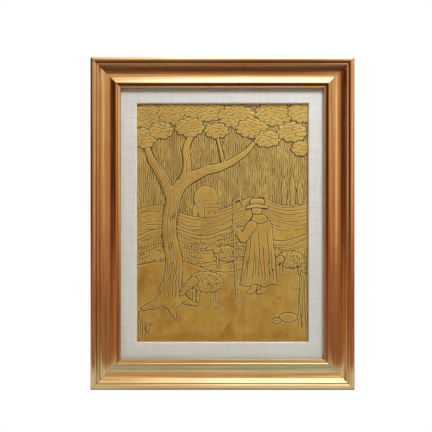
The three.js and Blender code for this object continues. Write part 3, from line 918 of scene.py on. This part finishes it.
def measure_rail(rail, section, breadth):
    """A UV map in metres, along the rail and round its section from the outer edge, and how
    near each corner lies to the bottom of a hollow where the toning settled."""
    hollow_reach = 0.9
    corners = np.array(section)
    closed = np.vstack([corners, corners[:1]])
    round_it = np.r_[0, np.cumsum(np.hypot(*np.diff(closed, axis=0).T))]
    co = corners_of(rail) / MM
    inward = breadth / 2 - co[:, 1]
    away = np.hypot(inward[:, None] - corners[None, :, 0], co[:, 2:3] - corners[None, :, 1])
    place = round_it[away.argmin(axis=1)]
    loops = np.empty(len(rail.data.loops), int)
    rail.data.loops.foreach_get("vertex_index", loops)
    uv = np.stack([co[loops, 0], place[loops]], axis=1) * MM
    rail.data.uv_layers.new(name="along_rail").data.foreach_set("uv", uv.ravel())
    in_hollow = sum(np.exp(-(((inward - hollow) / hollow_reach) ** 2)) for hollow in HOLLOWS)
    keep_values(rail, "hollow", np.where(co[:, 2] > LEDGE + 0.2, np.clip(in_hollow, 0, 1), 0))


def make_uneven(rail, breadth, seed):
    """Low waves along the scoop, well inside the section, as in gesso rubbed down by hand."""
    wave_height = 0.16
    scoop_from, scoop_to, fade = 14, 42, 4
    co = corners_of(rail) / MM
    inward = breadth / 2 - co[:, 1]
    on_scoop = np.clip((inward - scoop_from) / fade, 0, 1) * np.clip((scoop_to - inward) / fade, 0, 1)
    on_scoop *= co[:, 2] > 5
    wave = wander(co[:, 0], inward, 45, seed) - 0.5
    wave += 0.4 * (wander(co[:, 0], inward, 14, seed + 1) - 0.5)
    co[:, 2] += wave_height * on_scoop * wave
    rail.data.vertices.foreach_set("co", (co * MM).ravel())
    rail.data.update()


def wrapped_liner():
    """A flat ring with its opening chamfered, its edges rounded by the linen drawn over them."""
    chamfer = 1.8 * MM
    soft_edge = 0.55 * MM
    near = 3 * MM
    low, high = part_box("linen_liner")
    width = PICTURE_WIDTH * MM
    height = PICTURE_HEIGHT * MM
    border = (high.x - low.x - width) / 2
    liner = lay_plate("linen_liner_wrapped", low, high)
    bpy.ops.mesh.inset(thickness=border)
    bpy.ops.transform.resize(value=(1, height / (high.z - low.z - 2 * border), 1))
    bpy.ops.transform.translate(value=(0, PICTURE_RAISED, 0))
    bpy.ops.mesh.delete(type="FACE")
    bpy.ops.mesh.select_all(action="SELECT")
    draw_out(0, 0, high.y - low.y)
    face_outward()

    def is_round_the_opening(edge):
        one, other = (corner.co for corner in edge.verts)
        place = (one + other) / 2
        beside = abs(place.x) < width / 2 + near and abs(place.y) < height / 2 + near
        return beside and abs(one.z - other.z) < 1e-5 and place.z > -low.y - near

    for offset, segments in [(chamfer, 1), (soft_edge, 4)]:
        pick_edges(is_round_the_opening)
        bpy.ops.mesh.bevel(offset=offset, segments=segments, affect="EDGES")
    return put_up(liner, 35, natural_linen())


def hardboard_back():
    """The board that closes the back, its sawn edges taken off with sandpaper."""
    low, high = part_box("backing_board")
    board = lay_plate("hardboard_back", low, high)
    draw_out(0, 0, high.y - low.y)
    face_outward()
    bpy.ops.mesh.bevel(offset=0.5 * MM, segments=3, affect="EDGES")
    return put_up(board, 35, hardboard())


def cast_relief():
    """The cast: a grid lifted to the carved heights, thinned where flat, and closed behind."""
    relief = carved_front()
    across, up = relief.u.shape
    bpy.ops.mesh.primitive_grid_add(x_subdivisions=across - 1, y_subdivisions=up - 1, size=1)
    cast = new_piece("cast_relief")
    co = corners_of(cast)
    i = np.rint((co[:, 0] + 0.5) * (across - 1)).astype(int)
    j = np.rint((co[:, 1] + 0.5) * (up - 1)).astype(int)
    flat = [relief.line_u[i] * MM, relief.line_v[j] * MM + PICTURE_RAISED]
    places = np.stack([*flat, CAST_FRONT + relief.skin[i, j] * MM], axis=1)
    cast.data.vertices.foreach_set("co", places.ravel())
    cast.data.update()
    thinner = cast.modifiers.new("thinner", "DECIMATE")
    thinner.ratio = CAST_TRIANGLES / (2 * (across - 1) * (up - 1))
    thinner.use_collapse_triangulate = True
    bpy.ops.object.modifier_apply(modifier=thinner.name)
    bpy.ops.object.mode_set(mode="EDIT")
    pick_edges(lambda edge: edge.is_boundary)
    draw_out(0, 0, -CAST_THICKNESS * MM)
    bpy.ops.mesh.edge_face_add()
    face_outward()
    bpy.ops.object.mode_set(mode="OBJECT")
    keep_fields(cast, relief)
    return put_up(cast, 65, antiqued_gold_cast())


def keep_fields(cast, relief):
    """Keeps on the mesh where it is cut, where the cut threw up a burr and where it is hatched."""
    co = corners_of(cast)
    steps = []
    for line, place in [(relief.line_u, co[:, 0]), (relief.line_v, co[:, 1] - PICTURE_RAISED)]:
        step = (place / MM - line[0]) / (line[1] - line[0])
        steps.append(np.clip(step, 0, len(line) - 1.001))
    i, j = (step.astype(int) for step in steps)
    on_front = co[:, 2] > CAST_FRONT - 1 * MM
    for name in ("cut", "burr", "tone"):
        values = blend(getattr(relief, name), i, j, steps[0] - i, steps[1] - j)
        keep_values(cast, name, np.where(on_front, values, 0))


def gilt_moulding():
    """Imitation gold leaf over a red-brown ground, rubbed and sealed with a toned shellac.
    It shines softly in fine streaks along the rail, and is darker where shellac settled."""
    material, tree, shader = new_material("gold_leaf_toned_shellac")
    along = add(tree, "UVMap", uv_map="along_rail")
    here = add(tree, "TexCoord").outputs["Object"]
    # Brush streaks 1.1 mm wide and 90 mm long, broader bands of tone, and rubbed places 2 mm wide
    patterns = []
    for length, width, detail in [(90, 1.1, 4), (240, 4.5, 3), (60, 2.2, 3)]:
        stretched = add(tree, "Mapping", {"Vector": along, "Scale": per_mm(length, width, 1)})
        patterns.append(add(tree, "TexNoise", {"Vector": stretched, "Scale": 1, "Detail": detail}))
    streaks, bands, rubbed = patterns
    clouds = add(tree, "TexNoise", {"Vector": here, "Scale": 1 / (55 * MM), "Detail": 3})
    hollow = add(tree, "Attribute", attribute_name="hollow").outputs["Fac"]
    leaf = add(tree, "ValToRGB", {"Fac": streaks}, [(0.35, "E6C496"), (0.65, "F8E0BA")])
    for pattern, low, high, share, colour in [
        (clouds, 0.35, 0.7, 0.35, "DDB27E"),
        (bands, 0.42, 0.62, 0.6, "D09C6C"),
        (rubbed, 0.6, 0.78, 0.4, "B9764A"),
        (hollow, 0, 1, 0.7, "6E4024"),
    ]:
        cover = add(tree, "MapRange", {"Value": pattern, 1: low, 2: high, 4: share})
        leaf = add(tree, "Mix", {0: cover, 6: leaf, 7: colour}, data_type="RGBA")
    soft = add(tree, "MapRange", {"Value": streaks, 1: 0.3, 2: 0.7, 3: 0.15, 4: 0.25})
    brushed = add(tree, "Bump", {"Height": streaks, "Strength": 0.5, "Distance": 0.03 * MM})
    set_inputs(shader, {"Base Color": leaf, "Metallic": 1, "Roughness": soft})
    set_inputs(shader, {"Normal": brushed, "Coat Weight": 0.2, "Coat Roughness": 0.15})
    return material


def ayous_wood():
    """Ayous, a pale soft wood sawn and left bare, with faint straight grain along the rail."""
    material, tree, shader = new_material("bare_ayous_wood")
    along = add(tree, "UVMap", uv_map="along_rail")
    # Grain lines 0.9 mm wide, and growth bands 7 mm wide
    fine = add(tree, "Mapping", {"Vector": along, "Scale": per_mm(70, 0.9, 1)})
    grain = add(tree, "TexNoise", {"Vector": fine, "Scale": 1, "Detail": 4, "Roughness": 0.6})
    wide = add(tree, "Mapping", {"Vector": along, "Scale": per_mm(160, 7, 1)})
    growth = add(tree, "TexNoise", {"Vector": wide, "Scale": 1, "Detail": 2})
    wood = add(tree, "ValToRGB", {"Fac": grain}, [(0.3, "B8966A"), (0.7, "D8BE96")])
    banded = add(tree, "MapRange", {"Value": growth, 1: 0.3, 2: 0.7, 4: 0.5})
    wood = add(tree, "Mix", {0: banded, 6: wood, 7: "A98458"}, data_type="RGBA")
    sawn = add(tree, "Bump", {"Height": grain, "Strength": 0.6, "Distance": 0.12 * MM})
    set_inputs(shader, {"Base Color": wood, "Roughness": 0.75, "Normal": sawn})
    return material


def natural_linen():
    """Linen in plain weave with slubs, matt. A thread of 0.7 mm is drawn 1.3 mm wide, to show."""
    material, tree, shader = new_material("natural_linen_weave")
    here = add(tree, "TexCoord").outputs["Object"]
    thread = {"Vector": here, "Scale": math.pi / (10 * 1.3 * MM), "Distortion": 1.2, "Detail": 1}
    warp = add(tree, "TexWave", thread, bands_direction="X").outputs["Fac"]
    weft = add(tree, "TexWave", thread, bands_direction="Z").outputs["Fac"]
    weave = add(tree, "Math", {0: warp, 1: weft}, operation="MULTIPLY")
    # Slubs, upright and level: thicker stretches of one thread, 1.6 mm wide and 60 mm long
    upright = add(tree, "Mapping", {"Vector": here, "Scale": per_mm(1.6, 8, 60)})
    level = add(tree, "Mapping", {"Vector": here, "Scale": per_mm(60, 8, 1.6)})
    both = [add(tree, "TexNoise", {"Vector": way, "Scale": 1}) for way in (upright, level)]
    slubs = add(tree, "Math", {0: both[0], 1: both[1]}, operation="ADD")
    halved = add(tree, "Math", {0: slubs, 1: 0.5}, operation="MULTIPLY")
    cloth = add(tree, "ValToRGB", {"Fac": halved}, [(0.38, "E2DED2"), (0.62, "F2F0EA")])
    # Painted shade: darker in the gaps between the threads
    painted_shade_between_threads = add(tree, "MapRange", {"Value": weave, 1: 0, 2: 1, 3: 0.2, 4: 0})
    cloth = add(tree, "Mix", {0: painted_shade_between_threads, 6: cloth, 7: "A89C82"}, data_type="RGBA")
    raised = add(tree, "Math", {0: weave, 1: halved}, operation="ADD")
    woven = add(tree, "Bump", {"Height": raised, "Strength": 0.6, "Distance": 0.18 * MM})
    set_inputs(shader, {"Base Color": cloth, "Roughness": 0.9, "Normal": woven})
    set_inputs(shader, {"Sheen Weight": 0.15, "Sheen Roughness": 0.5})
    return material


def antiqued_gold_cast():
    """Cast resin with a gold finish, toned dark in the cuts, with a painted highlight of pale gold on
    the burr beside each cut.
    Open ground is brushed in cloudy ochre, and the hatched ground is a dull grey-brown."""
    material, tree, shader = new_material("antiqued_gold_resin")
    here = add(tree, "TexCoord").outputs["Object"]
    place = add(tree, "SeparateXYZ", {"Vector": here})
    cut, burr, tone = (
        add(tree, "Attribute", attribute_name=name).outputs["Fac"]
        for name in ("cut", "burr", "tone")
    )
    # Clouds 38 mm across, specks of 3.2 mm, and the grit of the mould, 0.9 mm
    patterns = []
    for size, detail, roughness in [(38, 4, 0.6), (3.2, 3, 0.7), (0.9, 3, 0.5)]:
        pattern = {"Vector": here, "Scale": 1 / (size * MM), "Detail": detail, "Roughness": roughness}
        patterns.append(add(tree, "TexNoise", pattern))
    clouds, specks, grit = patterns
    wipes = add(tree, "Mapping", {"Vector": here, "Scale": per_mm(9, 20, 24)})
    wiped = add(tree, "TexNoise", {"Vector": wipes, "Scale": 1, "Detail": 4, "Roughness": 0.65})
    pale = add(tree, "MapRange", {"Value": wiped, 1: 0.45, 2: 0.68, 4: 0.5})
    # Painted light: the gold is lighter towards the top right, where the key light stands
    slant = add(tree, "Math", {0: place.outputs["X"], 1: place.outputs["Z"]}, operation="ADD")
    thinner = add(tree, "MapRange", {"Value": slant, 1: -0.4, 2: 0.05, 4: 0.55})
    # Deeper orange gold, in clouds, along the bottom
    low_down = add(tree, "MapRange", {"Value": place.outputs["Z"], 1: -0.436, 2: -0.458})
    foot = add(tree, "Math", {0: low_down, 1: clouds}, operation="MULTIPLY")
    speckled = add(tree, "MapRange", {"Value": specks, 1: 0.56, 2: 0.75, 4: 0.4})
    patchy = add(tree, "MapRange", {"Value": wiped, 1: 0.35, 2: 0.62, 3: 0.7, 4: 0.05})
    dulled = add(tree, "Math", {0: tone, 1: patchy}, operation="MULTIPLY")
    # Painted highlight: pale gold on the burr beside each cut, where its edges would catch the light
    painted_burr_highlight = add(tree, "Math", {0: burr, 1: 0.75}, operation="MULTIPLY")
    filled = add(tree, "MapRange", {"Value": cut, 1: 0.1, 2: 0.7, 4: 0.95})
    gold = add(tree, "ValToRGB", {"Fac": clouds}, [(0.36, "C68E30"), (0.66, "DEB24C")])
    # The pale gold towards the top right is painted light
    for cover, colour in [
        (pale, "DEC06C"), (thinner, "F0CC68"), (foot, "CF8618"), (speckled, "96702A"),
        (dulled, "8A6C3C"), (painted_burr_highlight, "F0D68A"), (filled, "402404"),
    ]:
        gold = add(tree, "Mix", {0: cover, 6: gold, 7: colour}, data_type="RGBA")
    metal = add(tree, "MapRange", {"Value": cut, 1: 0.1, 2: 0.6, 3: 0.4, 4: 0})
    dull = add(tree, "MapRange", {"Value": specks, 1: 0.3, 2: 0.7, 3: 0.38, 4: 0.5})
    cast = add(tree, "Bump", {"Height": grit, "Strength": 0.6, "Distance": 0.05 * MM})
    set_inputs(shader, {"Base Color": gold, "Metallic": metal, "Roughness": dull})
    set_inputs(shader, {"Normal": cast, "Specular IOR Level": 0.3})
    return material


def hardboard():
    """Hardboard: pressed brown wood fibre, matt, with short fibres showing."""
    material, tree, shader = new_material("pressed_hardboard")
    here = add(tree, "TexCoord").outputs["Object"]
    # Fibres 0.8 by 2.4 mm
    short = add(tree, "Mapping", {"Vector": here, "Scale": per_mm(0.8, 3, 2.4)})
    fibres = add(tree, "TexNoise", {"Vector": short, "Scale": 1, "Detail": 4, "Roughness": 0.7})
    clouds = add(tree, "TexNoise", {"Vector": here, "Scale": 1 / (60 * MM), "Detail": 3})
    board = add(tree, "ValToRGB", {"Fac": fibres}, [(0.35, "6E5335"), (0.65, "93734C")])
    patchy = add(tree, "MapRange", {"Value": clouds, 1: 0.3, 2: 0.7, 4: 0.4})
    board = add(tree, "Mix", {0: patchy, 6: board, 7: "7E6446"}, data_type="RGBA")
    pressed = add(tree, "Bump", {"Height": fibres, "Strength": 0.7, "Distance": 0.08 * MM})
    set_inputs(shader, {"Base Color": board, "Roughness": 0.8, "Normal": pressed})
    return material


def picture_glass():
    """Clear float glass, 2 mm thick and polished: seen through, with a soft shine of lamps."""
    material, tree, shader = new_material("clear_picture_glass")
    set_inputs(shader, {"Base Color": "2C3430", "Alpha": 0.1, "Roughness": 0.04})
    set_inputs(shader, {"IOR": 1.5, "Specular IOR Level": 1})
    return material


def dress_frame():
    """Makes the finished pieces, and puts each in the place of its plain solid."""
    finished = [
        (wrapped_liner(), "linen_liner", "linen"),
        (cast_relief(), "relief_panel", "cast_gold"),
        (hardboard_back(), "backing_board", "backing"),
    ]
    for seed, (name, node, length, breadth, turn) in enumerate([
        ("gilt_rail_top", "frame_rail_top", FRAME_WIDTH, FRAME_HEIGHT, 0),
        ("gilt_rail_bottom", "frame_rail_bottom", FRAME_WIDTH, FRAME_HEIGHT, 180),
        ("gilt_rail_left", "frame_rail_left", FRAME_HEIGHT, FRAME_WIDTH, 90),
        ("gilt_rail_right", "frame_rail_right", FRAME_HEIGHT, FRAME_WIDTH, -90),
    ]):
        rail = gilt_rail(name, length, breadth, turn, 3 * seed)
        finished.append((rail, node, "gilt_moulding"))
    for piece, node, slot in finished:
        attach(piece, "root")
        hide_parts(node)
    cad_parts["glass_pane"].material_slots[0].material = picture_glass()


place_camera()
studio_surroundings()
lights()
studio_floor()
gilt = gilt_moulding()
bare_wood = ayous_wood()
dress_frame()
bpy.context.scene.view_settings.view_transform = "Standard"
